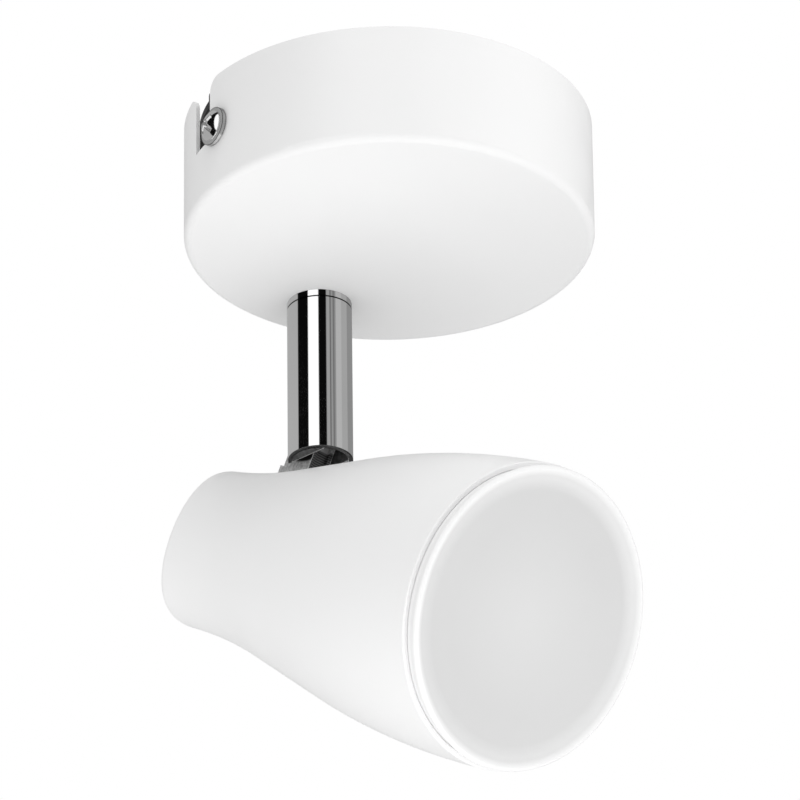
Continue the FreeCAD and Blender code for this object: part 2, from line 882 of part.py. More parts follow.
def make_swivel_fork():
    body = new_body("swivel_fork")
    sketch = sketch_on(body, "XY_Plane", "fork_plan", out=stem_end)
    circle(sketch, tube_bore - D.fit_gap)
    pad(body, sketch, slot_top - stem_end + D.fork_solid_length)

    slot = sketch_on(body, "YZ_Plane", "fork_slot")
    half = D.fork_slot_width / 2
    rectangle(slot, -half, half, stem_end - 1, slot_top)
    pocket(body, slot, symmetric=True)

    bore = sketch_on(body, "XY_Plane", "fork_lead_bore")
    circle(bore, D.fork_lead_radius)
    pocket(body, bore)

    hole = sketch_on(body, "XZ_Plane", "fork_pivot_hole")
    circle(hole, D.pivot_radius + D.fit_gap, 0, pivot_level)
    pocket(body, hole, symmetric=True)

    head = sketch_on(body, "XZ_Plane", "fork_head_seat", out=-pivot_shoulder)
    circle(head, D.pivot_head_radius + D.fit_gap, 0, pivot_level)
    pocket(body, head)
    return body


def make_pivot_screw():
    radius = D.pivot_radius.value
    face = pivot_head_face.value
    shank = cylinder(radius, -pivot_tail.value, pivot_shoulder.value)
    head = cylinder(D.pivot_head_radius.value, pivot_shoulder.value, face)
    slot = slot_recess(radius * 2, radius * 0.4, D.pivot_head_height.value * 0.5)
    slot.translate(FreeCAD.Vector(0, 0, face))
    screw = turned(shank.fuse(head.cut(slot)).removeSplitter(), X_AXIS, -90)
    screw.translate(FreeCAD.Vector(0, 0, pivot_level.value))
    return solid_feature("pivot_screw", screw)


def make_friction_washers():
    near = D.tongue_thickness.value / 2 + D.seat_gap.value
    far = D.fork_slot_width.value / 2 - D.seat_gap.value
    inner = D.pivot_radius.value + D.fit_gap.value
    rings = []
    for low, high in ((near, far), (-far, -near)):
        ring = turned(washer(D.friction_washer_radius.value, inner, low, high), X_AXIS, -90)
        ring.translate(FreeCAD.Vector(0, 0, pivot_level.value))
        rings.append(ring)
    return solid_feature("friction_washers", Part.makeCompound(rings))


def make_stem():
    washer_bore = D.nipple_radius + D.pan_gap
    floor_gap = floor_level + D.seat_gap
    return [
        ring_body("pan_washer", D.pan_washer_radius, washer_bore, floor_gap, pan_washer_top),
        ring_body("spring_washer", D.spring_washer_radius, nipple_clear,
                  spring_washer_low, nut_low),
        nut_body("stem_nut", D.nut_across_flats, nipple_clear, nut_low, D.nut_height),
        ring_body("stem_nipple", D.nipple_radius, D.nipple_bore_radius, bush_low, nipple_top),
        make_stem_collar(),
        ring_body("stem_bush", tube_bore - D.fit_gap, nipple_clear, bush_low, tube_top),
        make_stem_tube(),
        make_swivel_fork(),
        make_pivot_screw(),
        make_friction_washers(),
    ]


# ---------------------------------------------------------------- head

tongue_seat_radius = outer_rear_arc(as_size(0))
stud_seat = axis_level + D.rear_bore_radius + D.stud_seat_depth
stud_washer_low = stud_seat - D.stud_washer_thickness
stud_nut_low = stud_washer_low - D.stud_nut_height
stud_end = stud_nut_low - D.stud_stand


def make_swivel_tongue():
    body = new_body("swivel_tongue")
    eye = D.tongue_eye_radius
    seat_level = axis_level + tongue_seat_radius
    foot_level = seat_level + D.tongue_foot_height
    below = seat_level - eye
    sketch = sketch_on(body, "XZ_Plane", "tongue_side")
    outline(sketch, [
        (eye, 0), (-eye, 0), (-eye, foot_level),
        (-eye - D.tongue_foot_step, foot_level), (-eye - D.tongue_foot_step, below), (eye, below),
    ], {0: (None, -1)})
    pad(body, sketch, D.tongue_thickness, symmetric=True)

    hole = sketch_on(body, "XZ_Plane", "tongue_eye")
    circle(hole, D.pivot_radius + D.fit_gap)
    pocket(body, hole, symmetric=True)

    channel = sketch_on(body, "YZ_Plane", "tongue_channel", out=eye - D.tongue_channel_depth)
    half = D.tongue_channel_width / 2
    rectangle(channel, -half, half, below - 1, -eye * 0.8)
    pocket(body, channel, reverse=True)

    # the foot is shaped to the housing that it stands on
    seat = sketch_on(body, "XZ_Plane", "tongue_seat", up=axis_level)
    outline(seat, [
        (tail, 0), (flare_rear, 0), (flare_rear, flare_rear_radius + D.seat_gap),
        (tail, tail_radius + D.seat_gap),
    ], {2: (D.rear_arc_radius, 1)})
    groove(body, seat, "H_Axis")

    stud = sketch_on(body, "XY_Plane", "tongue_stud", out=stud_end)
    circle(stud, D.stud_radius)
    pad(body, stud, foot_level - stud_end)
    return body


def make_head_housing():
    body = new_body("head_housing")
    sketch = sketch_on(body, "XY_Plane", "housing_outer", out=axis_level)
    lip_start = D.head_front - D.lip_round
    outline(sketch, [
        (rear_limit, 0), (D.head_front, 0), (D.head_front, D.front_radius - D.lip_round),
        (lip_start, outer_front_arc(lip_start)),
        (flare_front, flare_front_radius), (flare_rear, flare_rear_radius), (tail, tail_radius),
        (rear_limit, tail_radius),
    ], {2: (D.lip_round, -1), 3: (D.front_arc_radius, -1), 5: (D.rear_arc_radius, 1)})
    revolve(body, sketch, "H_Axis")

    dish = sketch_on(body, "XZ_Plane", "housing_dish", up=axis_level)
    circle(dish, D.rear_dish_radius, dish_centre, D.rear_dish_rise)
    cut = pocket(body, dish, symmetric=True)
    round_edges(body, cut, rear_edges(cut.Shape), D.rear_edge_round)

    cavity = sketch_on(body, "XZ_Plane", "housing_cavity", up=axis_level)
    line_end = flare_front + D.housing_wall * flare_sine
    line_end_radius = flare_front_radius - D.housing_wall * flare_cosine
    line_start_radius = line_end_radius - (line_end - D.rear_bore_end) * flare_sine / flare_cosine
    lens_seat = D.head_front - D.lens_bore_depth
    rear = D.rear_wall - D.rear_middle
    outline(cavity, [
        (rear, 0), (rear, D.rear_bore_radius), (D.rear_bore_end, D.rear_bore_radius),
        (D.rear_bore_end, line_start_radius), (line_end, line_end_radius),
        (D.board_seat, outer_front_arc(D.board_seat, D.housing_wall)),
        (D.board_seat, D.board_bore_radius), (lens_seat, D.board_bore_radius),
        (lens_seat, D.lens_bore_radius), (D.head_front + 1, D.lens_bore_radius),
        (D.head_front + 1, 0),
    ], {4: (D.front_arc_radius - D.housing_wall, 1)})
    groove(body, cavity, "H_Axis")

    spot = sketch_on(body, "XY_Plane", "housing_stud_seat", out=axis_level)
    circle(spot, D.stud_washer_radius + D.fit_gap)
    pocket(body, spot, D.rear_bore_radius + D.stud_seat_depth, reverse=True)
    holes = sketch_on(body, "XY_Plane", "housing_stud_hole", out=axis_level)
    circle(holes, D.stud_radius + D.fit_gap)
    pocket(body, holes, reverse=True)
    return body


def rear_edges(shape):
    """The edges where the dished rear face meets the outside."""
    limit = -D.rear_middle.value
    names = []
    for number, edge in enumerate(shape.Edges, start=1):
        box_of_edge = edge.BoundBox
        if box_of_edge.XMax <= limit + 0.5:
            names.append(f"Edge{number}")
    return names


lens_back = D.head_front - D.lens_bore_depth + D.reflector_wall
lens_outer = D.lens_bore_radius - D.fit_gap * 3
lens_inner = lens_outer - D.lens_skirt_wall
lens_top = D.head_front + D.lens_proud


def make_diffuser_lens():
    body = new_body("diffuser_lens")
    sketch = sketch_on(body, "XZ_Plane", "lens_section", up=axis_level)
    crease = lens_top - D.lens_crease_depth
    middle = crease - D.lens_dish_depth
    inside = middle - D.lens_thickness
    dish_radius = (D.lens_crease_radius * D.lens_crease_radius
                   + D.lens_dish_depth * D.lens_dish_depth) / (D.lens_dish_depth * 2)
    outline(sketch, [
        (lens_back, lens_inner), (lens_back, lens_outer), (D.head_front, lens_outer),
        (lens_top - D.lens_edge_round, D.lens_rim_radius),
        (lens_top, D.lens_rim_radius - D.lens_edge_round),
        (crease, D.lens_crease_radius), (middle, 0), (inside, 0), (inside, lens_inner),
    ], {3: (D.lens_edge_round, 1), 5: (dish_radius, -1)})
    revolve(body, sketch, "H_Axis")
    return body


board_back = D.board_seat + D.sink_plate_thickness
board_front = board_back + D.board_thickness


def make_reflector():
    body = new_body("reflector")
    sketch = sketch_on(body, "XZ_Plane", "reflector_section", up=axis_level)
    wall = D.reflector_wall
    seat = D.head_front - D.lens_bore_depth
    back = board_front + D.seat_gap
    mouth = D.board_bore_radius - wall - D.reflector_mouth_gap
    outline(sketch, [
        (back, D.reflector_throat_radius), (lens_back, mouth),
        (lens_back, lens_outer), (seat, lens_outer),
        (seat, mouth + wall), (back, D.reflector_throat_radius + wall),
    ])
    revolve(body, sketch, "H_Axis")
    return body


def three_around(sketch, radius):
    """Three circles for the board screws."""
    for angle in (90, 210, 330):
        circle(sketch, radius, D.board_screw_place * math.cos(math.radians(angle)),
               D.board_screw_place * math.sin(math.radians(angle)))


def make_heat_sink():
    body = new_body("heat_sink")
    sketch = sketch_on(body, "XZ_Plane", "sink_section", up=axis_level)
    rim = D.board_bore_radius - D.fit_gap
    rear = D.board_seat - D.sink_length
    outline(sketch, [
        (rear, 0), (board_back, 0), (board_back, rim), (D.board_seat, rim),
        (D.board_seat, D.sink_front_radius), (rear, D.sink_rear_radius),
    ])
    revolve(body, sketch, "H_Axis")

    gaps = sketch_on(body, "XY_Plane", "sink_gaps", out=axis_level)
    half_gap = (D.sink_fin_pitch - D.sink_fin_thickness) / 2
    for number in range(-4, 4):
        middle = D.sink_fin_pitch * (number + 0.5)
        rectangle(gaps, rear - 1, D.board_seat, middle - half_gap, middle + half_gap)
    pocket(body, gaps, symmetric=True)

    holes = sketch_on(body, "YZ_Plane", "sink_screw_holes", out=board_back, up=axis_level)
    three_around(holes, D.board_screw_radius + D.fit_gap)
    pocket(body, holes, D.sink_plate_thickness)
    return body


def make_led_board():
    body = new_body("led_board")
    sketch = sketch_on(body, "YZ_Plane", "board_plan", out=board_back, up=axis_level)
    circle(sketch, D.board_radius)
    three_around(sketch, D.board_screw_radius + D.fit_gap)
    pad(body, sketch, D.board_thickness)
    return body


def on_board(shape, radius, angle):
    """Stand a piece drawn along +Z on the front of the board."""
    copy = turned(shape, Y_AXIS, 90)
    copy.translate(FreeCAD.Vector(board_front.value, radius, 0))
    copy = turned(copy, X_AXIS, angle)
    copy.translate(FreeCAD.Vector(0, 0, axis_level.value))
    return copy


def make_board_screws():
    radius = D.board_screw_radius.value
    head_radius = D.board_screw_head_radius.value
    height = radius * 1.1
    recess = cross_recess(head_radius * 0.6, height * 0.7)
    recess.translate(FreeCAD.Vector(0, 0, height))
    length = D.board_thickness.value + D.sink_plate_thickness.value - 0.2
    screw = pan_head(head_radius, height).cut(recess)
    screw = screw.fuse(cylinder(radius, -length, 0.1)).removeSplitter()
    screws = [on_board(screw, D.board_screw_place.value, angle) for angle in (90, 210, 330)]
    return solid_feature("board_screws", Part.makeCompound(screws))


def make_led_chips():
    half_length = D.chip_length.value / 2
    half_width = D.chip_width.value / 2
    chip = box(-half_length, half_length, -half_width, half_width, 0.0, D.chip_height.value)
    chips = [on_board(chip, D.chip_ring_radius.value, 30 + 45 * number) for number in range(8)]
    chips += [on_board(chip, D.chip_ring_radius.value * 0.4, 120 * number) for number in range(3)]
    return solid_feature("led_chips", Part.makeCompound(chips))


def make_head():
    return [
        make_swivel_tongue(),
        ring_body("tongue_washer", D.stud_washer_radius, D.stud_radius + D.fit_gap,
                  stud_washer_low, stud_seat),
        nut_body("tongue_nut", D.stud_nut_across_flats, D.stud_radius + D.fit_gap,
                 stud_nut_low, D.stud_nut_height),
        make_head_housing(),
        make_heat_sink(),
        make_led_board(),
        make_led_chips(),
        make_board_screws(),
        make_reflector(),
        make_diffuser_lens(),
    ]


def make_cup():
    return [make_canopy_cup(), make_driver_case(), make_driver_pad()]


def make_bracket():
    return [
        make_mounting_bracket(),
        make_side_screws(),
        make_side_washers(),
        make_terminal_block(),
        make_terminal_inserts(),
        make_terminal_screws(),
        make_block_screws(),
        make_earth_screw(),
        make_earth_washer(),
    ]


def place_all(pieces, placement):
    doc.recompute()
    for piece in pieces:
        piece.Placement = placement.multiply(piece.Placement)


def check_document():
    for item in doc.Objects:
        if "Invalid" in item.State or "Error" in item.State:
            raise RuntimeError(f"{item.Label} failed: {item.State}")


def write_pieces(pieces):
    for piece in pieces:
        shape = piece.Shape
        if shape.isNull() or not shape.isValid() or not shape.Solids:
            raise RuntimeError(f"{piece.Label} has no sound shape")
    os.makedirs("parts", exist_ok=True)
    for piece in pieces:
        piece.Shape.exportStep(f"parts/{piece.Label}.step")
        print(f"{piece.Label}: {len(piece.Shape.Solids)} solid(s), {piece.Shape.Volume:.1f} mm3")


cup = make_cup()
bracket = make_bracket()
stem = make_stem()
head = make_head()
place_all(cup, cup_placement())
place_all(stem, stem_placement())
place_all(head, head_placement())
doc.recompute()
check_document()
write_pieces(cup + bracket + stem + head)
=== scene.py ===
import json
import math

import bpy
from mathutils import Matrix, Vector


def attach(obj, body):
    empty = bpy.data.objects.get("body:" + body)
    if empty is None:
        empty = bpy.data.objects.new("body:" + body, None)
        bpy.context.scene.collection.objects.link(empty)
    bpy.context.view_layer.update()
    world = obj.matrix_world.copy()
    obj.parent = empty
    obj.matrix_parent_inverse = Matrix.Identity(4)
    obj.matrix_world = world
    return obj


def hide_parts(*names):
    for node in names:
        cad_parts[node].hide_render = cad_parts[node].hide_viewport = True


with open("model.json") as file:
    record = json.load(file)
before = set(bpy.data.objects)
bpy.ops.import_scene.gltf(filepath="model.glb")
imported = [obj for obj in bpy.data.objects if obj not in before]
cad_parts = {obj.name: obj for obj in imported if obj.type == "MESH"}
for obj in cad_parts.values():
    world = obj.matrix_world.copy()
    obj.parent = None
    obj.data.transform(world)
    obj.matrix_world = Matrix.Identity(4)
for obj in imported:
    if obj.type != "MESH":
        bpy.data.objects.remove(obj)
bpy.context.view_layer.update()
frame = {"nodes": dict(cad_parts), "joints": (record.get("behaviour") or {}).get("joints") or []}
NODES = frame["nodes"]
TILT = next(joint for joint in frame["joints"] if joint["name"] == "head_tilt")
SCENE = bpy.context.scene
MM = 0.001


def add_object(name, data):
    """A new object of the scene that holds this data."""
    item = bpy.data.objects.new(name, data)
    SCENE.collection.objects.link(item)
    return item


def rotation(degrees, axis):
    """A turn about one of the axes X, Y and Z."""
    return Matrix.Rotation(math.radians(degrees), 3, axis)


# ------------------------------------------------------------------ camera

# The photograph is square and taken from below with a long lens. Angles are in degrees.
VIEW_AZIMUTH = -33.7985
VIEW_RISE = 28.574
VIEW_ROLL = -0.738
VIEW_DISTANCE = 1500 * MM
VIEW_TARGET = (1.657 * MM, 0.0, -59.816 * MM)
FOCAL_MM = 350.76
SENSOR_MM = 36
CLIP_NEAR = 0.1
CLIP_FAR = 20


def make_camera():
    """The camera of the photograph, which looks up at the object."""
    rise = math.radians(VIEW_RISE)
    look = Vector((0, math.cos(rise), math.sin(rise)))
    right = Vector((1, 0, 0))
    up = right.cross(look)
    roll = math.radians(VIEW_ROLL)
    rolled_right = right * math.cos(roll) + up * math.sin(roll)
    rolled_up = up * math.cos(roll) - right * math.sin(roll)
    turn = rotation(VIEW_AZIMUTH, "Z")
    axes = Matrix((turn @ rolled_right, turn @ rolled_up, turn @ -look)).transposed()
    place = turn @ (Vector(VIEW_TARGET) - look * VIEW_DISTANCE)
    data = bpy.data.cameras.new("camera")
    data.lens = FOCAL_MM
    data.sensor_width = SENSOR_MM
    data.clip_start = CLIP_NEAR
    data.clip_end = CLIP_FAR
    camera = add_object("camera", data)
    camera.matrix_world = Matrix.Translation(place) @ axes.to_4x4()
    SCENE.camera = camera


# ------------------------------------------------------------------ places on the object

# The head's own frame has its origin on the pivot, its Y along the tilting axis and its X
# towards the lens. The stem's own frame is the same without the head's pitch.
PIVOT = Vector(TILT["pos_m"])
HEAD_TURN = math.degrees(math.atan2(TILT["axis"][1], TILT["axis"][0])) - 90
HEAD_PITCH = 28.15
STEM_PITCH = 0
AXIS_DROP = 28.05 * MM

# Where the masks of the materials lie, in mm in those frames. Each pair gives the place
# where a mask is 0 and the place where it is 1.
TUBE_OUTSIDE = (6.05, 6.15)
TUBE_END = (-7.02, -6.96)
FORK_SLOT = (3.85, 3.75)
TONGUE_PAINTED_SHADE = (7.9, 7.5)
TONGUE_NOSE = (5.5, 5.2)
TONGUE_FRONT = (2.7, 2.8)
TONGUE_BETWEEN_SIDES = (2.46, 2.42)
TONGUE_OUTER_EDGES = (2.1, 2.2)
LENS_PAINTED_MIDDLE_LIGHT = (19, 2)
LENS_RIM_PAINTED_LIGHT = (27.2, 28.4)
LENS_FACE_TO_RIM = (24.3, 26.6)
LENS_SIDE_GLOW = (73.8, 72.3)


def own_turn(pitch):
    """The turn of the stem's own frame, or with the head's pitch that of the head's."""
    return rotation(HEAD_TURN, "Z") @ rotation(pitch, "Y")


# ------------------------------------------------------------------ materials

NOISE_SPREAD = (0.3, 0.7)       # the part of the noise's range that is stretched to 0..1
EDGE_SAMPLES = 6
EDGE_AGREEMENT = (0.99, 0.85)   # of rounded and plain normals: on a face, and at an edge
WAVE_LENGTH = math.tau / 20     # of the wave texture at scale 1, in metres
MIX_COLOURS = (6, 7)            # the mix node's sockets for two colours, and their result's
MIX_RESULT = 2


class Shader:
    """A node material, with a short call for each kind of detail.

    Places are in metres, in the object's frame or the one that own_place sets. Scales are
    those of the noise, per metre. A share is a value from 0 to 1."""

    def __init__(self, name):
        self.material = bpy.data.materials.new(name)
        self.material.use_nodes = True
        self.tree = self.material.node_tree
        self.tree.nodes.clear()
        self.surface = self.add("ShaderNodeBsdfPrincipled")
        output = self.add("ShaderNodeOutputMaterial")
        self.link(self.surface.outputs["BSDF"], output.inputs["Surface"])
        self.place = self.add("ShaderNodeTexCoord").outputs["Object"]

    def add(self, kind):
        return self.tree.nodes.new(kind)

    def link(self, start, end):
        self.tree.links.new(start, end)

    def set(self, **values):
        """Set what is the same all over, by the socket's name with _ for its spaces."""
        for name, value in values.items():
            self.surface.inputs[name.replace("_", " ")].default_value = value
        return self

    def own_place(self, pitch):
        """Work in the frame of the stem, or with the head's pitch in that of the head."""
        back = own_turn(pitch).inverted()
        self.place = self.mapped(Rotation=back.to_euler(), Location=-(back @ PIVOT))
        return self

    def mapped(self, **values):
        """The place after it is scaled, turned and moved."""
        node = self.add("ShaderNodeMapping")
        for name, value in values.items():
            node.inputs[name].default_value = value
        self.link(self.place, node.inputs["Vector"])
        return node.outputs["Vector"]

    def maths(self, how, *values, kind="ShaderNodeMath"):
        """The number that a maths node makes of these values."""
        node = self.add(kind)
        node.operation = how
        for value, socket in zip(values, node.inputs):
            self.link(value, socket)
        return node.outputs["Value"]

    def ramp(self, value, start, end, low=0.0, high=1.0):
        """Map value from start..end to low..high, held at both ends."""
        node = self.add("ShaderNodeMapRange")
        node.inputs["From Min"].default_value = start
        node.inputs["From Max"].default_value = end
        node.inputs["To Min"].default_value = low
        node.inputs["To Max"].default_value = high
        self.link(value, node.inputs["Value"])
        return node.outputs["Result"]

    def mask(self, value, places_mm, high=1.0):
        """0 at the first of two places, high at the second."""
        start, end = places_mm
        return self.ramp(value, start * MM, end * MM, 0.0, high)

    def along(self, axis):
        """The place along one axis."""
        node = self.add("ShaderNodeSeparateXYZ")
        self.link(self.place, node.inputs[0])
        return node.outputs[axis]

    def away_from(self, axis, level=0.0):
        """The distance from a line along an axis, which lies at this height."""
        keep = [float(name != axis) for name in "XYZ"]
        flat = self.mapped(Location=(0, 0, -level * keep[2]), Scale=keep)
        return self.maths("LENGTH", flat, kind="ShaderNodeVectorMath")

    def near_edges(self, reach_mm):
        """1 at the corners of the shape, 0 away from them."""
        rounded = self.add("ShaderNodeBevel")
        rounded.samples = EDGE_SAMPLES
        rounded.inputs["Radius"].default_value = reach_mm * MM
        plain = self.add("ShaderNodeNewGeometry")
        agreement = self.maths("DOT_PRODUCT", rounded.outputs["Normal"],
                               plain.outputs["True Normal"], kind="ShaderNodeVectorMath")
        return self.ramp(agreement, *EDGE_AGREEMENT)

    def noise(self, scale, detail=3, stretch=(1, 1, 1)):
        node = self.add("ShaderNodeTexNoise")
        node.inputs["Scale"].default_value = scale
        node.inputs["Detail"].default_value = detail
        self.link(self.mapped(Scale=stretch), node.inputs["Vector"])
        return self.ramp(node.outputs["Fac"], *NOISE_SPREAD)

    def ribs(self, pitch_mm, axis):
        """Fine bands across an axis, used to paint the shade of ribs."""
        node = self.add("ShaderNodeTexWave")
        node.bands_direction = axis
        node.inputs["Scale"].default_value = WAVE_LENGTH / (pitch_mm * MM)
        self.link(self.place, node.inputs["Vector"])
        return node.outputs["Fac"]

    def blend(self, share, first, second):
        """A colour between two, each one a colour or another blend's result."""
        node = self.add("ShaderNodeMix")
        node.data_type = "RGBA"
        for number, colour in zip(MIX_COLOURS, (first, second)):
            if isinstance(colour, tuple):
                node.inputs[number].default_value = (*colour, 1)
            else:
                self.link(colour, node.inputs[number])
        self.link(share, node.inputs[0])
        return node.outputs[MIX_RESULT]

    def mottled(self, first, second, scale, detail=3):
        """Two colours mixed by noise."""
        return self.blend(self.noise(scale, detail), first, second)

    def edged(self, body, edge, reach_mm):
        """A colour with another one along the shape's edges."""
        return self.blend(self.near_edges(reach_mm), body, edge)

    def colour(self, value):
        self.link(value, self.surface.inputs["Base Color"])

    def roughness(self, share, low, high):
        self.link(self.ramp(share, 0, 1, low, high), self.surface.inputs["Roughness"])

    def sheen(self, low, high, scale, detail=3):
        """Roughness that wanders between two values."""
        self.roughness(self.noise(scale, detail), low, high)

    def relief(self, strength, depth_mm, scale, detail=3, stretch=(1, 1, 1)):
        """Fine relief of noise."""
        node = self.add("ShaderNodeBump")
        node.inputs["Strength"].default_value = strength
        node.inputs["Distance"].default_value = depth_mm * MM
        self.link(self.noise(scale, detail, stretch), node.inputs["Height"])
        self.link(node.outputs["Normal"], self.surface.inputs["Normal"])


def grey(level):
    return (level, level, level)


def lighter(colour, times, most=0.95):
    """A colour so many times as light, up to a highest level."""
    return tuple(min(level * times, most) for level in colour)


def white_paint(name, level):
    """Satin powder coat: a fine orange peel, faint unevenness of sheen, and a painted highlight
    along its sharp edges.
    """
    shader = Shader(name).set(Specular_IOR_Level=0.45)
    coat = shader.mottled(grey(level), grey(level + 0.015), scale=22, detail=2)
    # Painted highlight: the edges get a lighter colour than the coat.
    shader.colour(shader.edged(coat, grey(level + 0.035), reach_mm=0.12))
    shader.sheen(low=0.34, high=0.44, scale=160)
    shader.relief(strength=0.12, depth_mm=0.02, scale=1400, detail=2)
    return shader.material


def chrome():
    """Mirror plating with faint lengthwise polishing marks; the tube's cut end and its bore are
    painted near black, a painted shade.
    """
    shader = Shader("chrome").own_place(STEM_PITCH).set(Metallic=1.0)
    plating = shader.mottled(grey(0.90), grey(0.94), scale=60, detail=2)
    # Painted shade: near black on the tube's cut end and inside its bore.
    painted_shade_and_light = grey(0.08)
    outside = shader.mask(shader.away_from("Z"), TUBE_OUTSIDE)
    above_end = shader.mask(shader.along("Z"), TUBE_END)
    clear_of_painted_shade = shader.maths("MINIMUM", outside, above_end)
    shader.colour(shader.blend(clear_of_painted_shade, painted_shade_and_light, plating))
    marks = shader.maths("MULTIPLY", shader.noise(scale=300), clear_of_painted_shade)
    shader.roughness(marks, low=0.035, high=0.07)
    shader.relief(strength=0.03, depth_mm=0.002, scale=2500, detail=2, stretch=(1, 1, 0.05))
    return shader.material


def plated_steel(name, level, rough, edge=None, reach_mm=0.1):
    """Plated steel with a mottled coat, worn bright along its edges unless another edge colour
    is given, such as the painted shade on the side screws' and washers' edges.
    """
    shader = Shader(name).set(Metallic=1.0)
    steel = grey(level)
    coat = shader.mottled(steel, lighter(steel, times=1.12), scale=180)
    edge = edge or lighter(steel, times=1.35, most=0.97)
    shader.colour(shader.edged(coat, edge, reach_mm))
    shader.sheen(low=rough * 0.8, high=rough * 1.25, scale=500)
    shader.relief(strength=0.1, depth_mm=0.01, scale=1800)
    return shader.material


def fork_casting():
    """Dark grey die casting, as cast, with a speckled skin; a painted highlight runs along the
    edges of its slot.
    """
    shader = Shader("fork_casting").own_place(STEM_PITCH).set(Metallic=0.2)
    skin = shader.mottled(grey(0.05), grey(0.15), scale=1500, detail=4)
    painted_highlight = grey(0.9)
    by_slot = shader.mask(shader.maths("ABSOLUTE", shader.along("Y")), FORK_SLOT)
    # Painted highlight: near white along the slot's edges.
    slot_edges = shader.maths("MULTIPLY", shader.near_edges(reach_mm=0.45), by_slot)
    shader.colour(shader.blend(slot_edges, skin, painted_highlight))
    shader.sheen(low=0.4, high=0.6, scale=900)
    shader.relief(strength=0.25, depth_mm=0.02, scale=2600, detail=4)
    return shader.material


def tongue_front(shader, from_axis):
    """The tongue's front: a painted dark reflection in bands of painted shade for fine ribs,
    below its nose, which is painted lighter, a painted light.
    """
    # Painted reflection and painted shade: near black and dark grey bands across the front.
    painted_dark_ribs = shader.blend(shader.ribs(pitch_mm=0.45, axis="Z"), grey(0.003), grey(0.12))
    # Painted light: the nose is painted lighter than the front.
    painted_shade_and_light = grey(0.4)
    return shader.blend(shader.mask(from_axis, TONGUE_NOSE), painted_dark_ribs, painted_shade_and_light)


def tongue_casting():
    """Lighter casting. Its front is painted dark between painted highlights along its outer
    edges, and the part that turns in the fork is painted near black, a painted shade."""
    shader = Shader("tongue_casting").own_place(HEAD_PITCH).set(Metallic=0.3)
    skin = shader.mottled(grey(0.32), grey(0.70), scale=1700, detail=4)
    painted_shade, painted_highlight = grey(0.012), grey(0.85)
    from_axis = shader.away_from("Y")
    aside = shader.maths("ABSOLUTE", shader.along("Y"))
    # Painted shade: near black on the part that turns in the fork.
    skin = shader.blend(shader.mask(from_axis, TONGUE_PAINTED_SHADE), skin, painted_shade)
    forward = shader.mask(shader.along("X"), TONGUE_FRONT)
    on_front = shader.maths("MINIMUM", forward, shader.mask(aside, TONGUE_BETWEEN_SIDES))
    body = shader.blend(on_front, skin, tongue_front(shader, from_axis))
    outer = shader.mask(aside, TONGUE_OUTER_EDGES)
    # Painted highlight: near white along the tongue's outer edges.
    outer_edges = shader.maths("MULTIPLY", shader.near_edges(reach_mm=0.3), outer)
    shader.colour(shader.blend(outer_edges, body, painted_highlight))
    shader.sheen(low=0.3, high=0.45, scale=900)
    shader.relief(strength=0.2, depth_mm=0.02, scale=2600, detail=4)
    return shader.material


def dark_steel():
    """Black-passivated steel, greyer where it is bent and cut."""
    shader = Shader("dark_steel").set(Metallic=0.6)
    coat = shader.mottled(grey(0.02), grey(0.04), scale=140, detail=4)
    shader.colour(shader.edged(coat, grey(0.12), reach_mm=0.15))
    shader.sheen(low=0.4, high=0.6, scale=400)
    shader.relief(strength=0.15, depth_mm=0.01, scale=1500)
    return shader.material


def brass():
    """Turned brass, paler along its edges."""
    shader = Shader("brass").set(Metallic=1.0)
    metal = shader.mottled((0.72, 0.52, 0.22), (0.80, 0.60, 0.28), scale=300)
    shader.colour(shader.edged(metal, (0.9, 0.74, 0.42), reach_mm=0.1))
    shader.sheen(low=0.2, high=0.34, scale=900)
    shader.relief(strength=0.1, depth_mm=0.005, scale=3000, detail=2)
    return shader.material


def plastic(name, first, second, rough):
    """Moulded plastic: a fine spark-eroded grain, slightly lighter along its edges."""
    shader = Shader(name)
    body = shader.mottled(first, second, scale=90)
    shader.colour(shader.edged(body, lighter(second, times=1.1), reach_mm=0.15))
    shader.sheen(low=rough * 0.85, high=rough * 1.2, scale=500)
    shader.relief(strength=0.12, depth_mm=0.015, scale=1600)
    return shader.material


def frosted_lens():
    """Opal diffuser: the thin face lets light into the head, the rim is painted lighter and the
    middle a little lighter, both painted light, and its side has a faint painted glow."""
    shader = Shader("frosted_lens").own_place(HEAD_PITCH).set(Specular_IOR_Level=0.4)
    painted_middle_light, glow = grey(0.63), 0.12
    radius = shader.away_from("X", level=-AXIS_DROP)
    face = shader.mottled(grey(0.585), grey(0.60), scale=30, detail=2)
    # Painted light: the middle of the face is a little lighter.
    face = shader.blend(shader.mask(radius, LENS_PAINTED_MIDDLE_LIGHT), face, painted_middle_light)
    # Painted light: the rim is painted lighter than the face.
    rim = shader.blend(shader.mask(radius, LENS_RIM_PAINTED_LIGHT), grey(0.67), grey(0.81))
    shader.colour(shader.blend(shader.mask(radius, LENS_FACE_TO_RIM), face, rim))
    # Painted light: a faint glow on the lens's side lifts the shade in the gap by the housing's
    # lip.
    side_glow = shader.mask(shader.along("X"), LENS_SIDE_GLOW, high=glow)
    shader.link(side_glow, shader.surface.inputs["Emission Strength"])
    shader.sheen(low=0.38, high=0.46, scale=260, detail=2)
    shader.relief(strength=0.06, depth_mm=0.01, scale=2400, detail=2)
    return shader.material


def assign(material, *names):
    """Give these CAD nodes one material."""
    for name in names:
        data = NODES[name].data
        data.materials.clear()
        data.materials.append(material)


